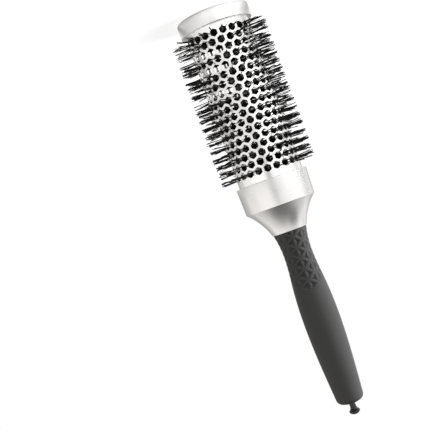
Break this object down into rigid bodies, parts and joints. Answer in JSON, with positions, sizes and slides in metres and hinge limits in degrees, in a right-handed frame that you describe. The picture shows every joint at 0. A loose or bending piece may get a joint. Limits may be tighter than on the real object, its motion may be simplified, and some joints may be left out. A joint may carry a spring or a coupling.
{
  "type": "round barrel brush",
  "caption": "Round thermal hair brush: perforated metal barrel with nylon bristles, silver end cap and collar, waisted rubber grip and a sectioning pick stored in the handle.",
  "frame": {"origin": "centre of the end cap's flat end face, on which the brush stands", "axes": "+Z along the brush's axis, from the end cap through the barrel and the collar to the handle's tail; -Y is the front, which has a hole of every second row"},
  "size_m": [0.0674, 0.0674, 0.2878],
  "materials": {
    "satin_silver": "satin silver metallised plastic",
    "barrel_metal": "satin, thin perforated sheet",
    "steel_wire": "drawn wire",
    "black_nylon": "crimped nylon filaments",
    "black_plastic": "moulded",
    "grip_rubber": "soft-touch, matte",
    "pick_plastic": "glossy moulded"
  },
  "bodies": {
    "brush": {"end_cap": "satin_silver", "end_plug": "black_plastic", "barrel": "barrel_metal", "core_wire": "steel_wire", "bristle_row_01": "black_nylon", "bristle_row_02": "black_nylon", "bristle_row_03": "black_nylon", "bristle_row_04": "black_nylon", "bristle_row_05": "black_nylon", "bristle_row_06": "black_nylon", "bristle_row_07": "black_nylon", "bristle_row_08": "black_nylon", "bristle_row_09": "black_nylon", "bristle_row_10": "black_nylon", "bristle_row_11": "black_nylon", "bristle_row_12": "black_nylon", "bristle_row_13": "black_nylon", "bristle_row_14": "black_nylon", "bristle_row_15": "black_nylon", "bristle_row_16": "black_nylon", "bristle_row_17": "black_nylon", "bristle_row_18": "black_nylon", "barrel_seat": "black_plastic", "collar": "satin_silver", "handle_core": "black_plastic", "grip": "grip_rubber", "pick_guide": "black_plastic"},
    "pick": {"pick": "pick_plastic"}
  },
  "joints": [
    {"name": "pick_slide", "type": "slide", "parent": "brush", "child": "pick", "axis": [0, 0, 1], "range_m": [0, 0.08]}
  ]
}
